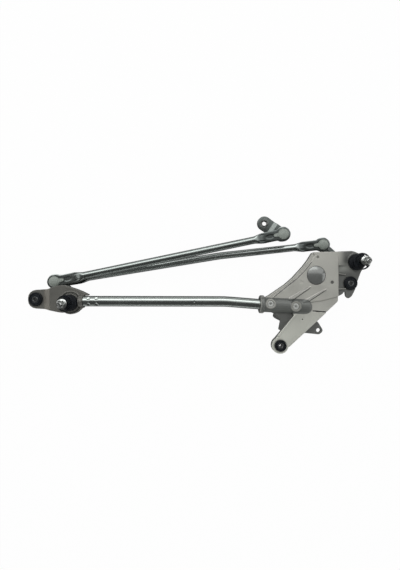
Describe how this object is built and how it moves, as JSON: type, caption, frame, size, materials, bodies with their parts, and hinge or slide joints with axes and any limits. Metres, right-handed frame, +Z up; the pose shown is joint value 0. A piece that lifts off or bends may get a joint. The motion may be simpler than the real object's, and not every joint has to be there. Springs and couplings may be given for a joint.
{
  "type": "wiper linkage",
  "caption": "Tandem wiper linkage: two cast pivot housings on a tube, two levers on wiper shafts, link rod and motor rod with loose crank.",
  "frame": {"origin": "on the plane of the motor posts' feet, under the middle of the part", "axes": "+X from the left pivot to the right pivot side along the frame tube, +Z up along the wiper shafts"},
  "size_m": [0.7029, 0.2931, 0.114],
  "materials": {
    "cast_bracket": "as-cast, fine grain",
    "cast_housing": "as-cast, darker",
    "zinc_tube": "zinc-plated",
    "rod_steel": "zinc-plated",
    "dark_steel": "phosphated",
    "plated_steel": "bright zinc",
    "sleeve_steel": "dull zinc",
    "chrome_shaft": "bright plated",
    "bush_bronze": "sintered",
    "nylon": "moulded",
    "rubber": "matte"
  },
  "bodies": {
    "frame": {"bracket_casting": "cast_bracket", "left_pivot_housing": "cast_housing", "frame_tube": "zinc_tube", "tube_pin_outer": "plated_steel", "tube_pin_inner": "plated_steel", "left_lug_grommet": "rubber", "left_lug_sleeve": "sleeve_steel", "leg_grommet": "rubber", "leg_sleeve": "sleeve_steel", "wing_grommet": "rubber", "wing_sleeve": "sleeve_steel", "left_upper_bush": "bush_bronze", "left_lower_bush": "bush_bronze", "right_upper_bush": "bush_bronze", "right_lower_bush": "bush_bronze"},
    "left_lever": {"left_lever_arm": "dark_steel", "left_shaft": "chrome_shaft", "left_lower_washer": "plated_steel", "left_upper_washer": "plated_steel", "left_retaining_ring": "dark_steel", "left_dust_cap": "rubber", "left_shaft_nut": "chrome_shaft", "left_ball_stud": "plated_steel"},
    "right_lever": {"right_lever_arm": "dark_steel", "right_shaft": "chrome_shaft", "right_lower_washer": "plated_steel", "right_upper_washer": "plated_steel", "right_retaining_ring": "dark_steel", "right_dust_cap": "rubber", "right_shaft_nut": "chrome_shaft", "right_ball_stud": "plated_steel"},
    "link_rod_assembly": {"link_rod": "rod_steel", "link_rod_left_socket": "nylon", "link_rod_right_socket": "nylon"},
    "motor_rod_assembly": {"motor_rod": "rod_steel", "motor_rod_left_socket": "nylon", "motor_rod_right_socket": "nylon"},
    "crank": {"motor_crank": "dark_steel", "crank_ball_stud": "plated_steel"}
  },
  "joints": [
    {"name": "left_pivot", "type": "hinge", "parent": "frame", "child": "left_lever", "pos_m": [-0.2602, -0.0423, 0.06], "axis": [0, 0, 1], "range_deg": [-95, 0]},
    {"name": "right_pivot", "type": "hinge", "parent": "frame", "child": "right_lever", "pos_m": [0.3324, 0.0418, 0.06], "axis": [0, 0, 1], "range_deg": [-95, 0]},
    {"name": "link_rod_ball", "type": "hinge", "parent": "left_lever", "child": "link_rod_assembly", "pos_m": [-0.3061, 0.00172, 0.0125], "axis": [0, 0, 1], "range_deg": [0, 95]},
    {"name": "motor_rod_ball", "type": "hinge", "parent": "link_rod_assembly", "child": "motor_rod_assembly", "pos_m": [-0.3061, 0.00172, 0.038], "axis": [0, 0, 1], "range_deg": [-18, 40]},
    {"name": "crank_ball", "type": "hinge", "parent": "motor_rod_assembly", "child": "crank", "pos_m": [0.18924, 0.10502, 0.038], "axis": [0, 0, 1], "range_deg": [-180, 180]}
  ],
  "couplings": [
    {"joint": "right_pivot", "follows": "left_pivot", "ratio": 1},
    {"joint": "link_rod_ball", "follows": "left_pivot", "ratio": -1}
  ]
}
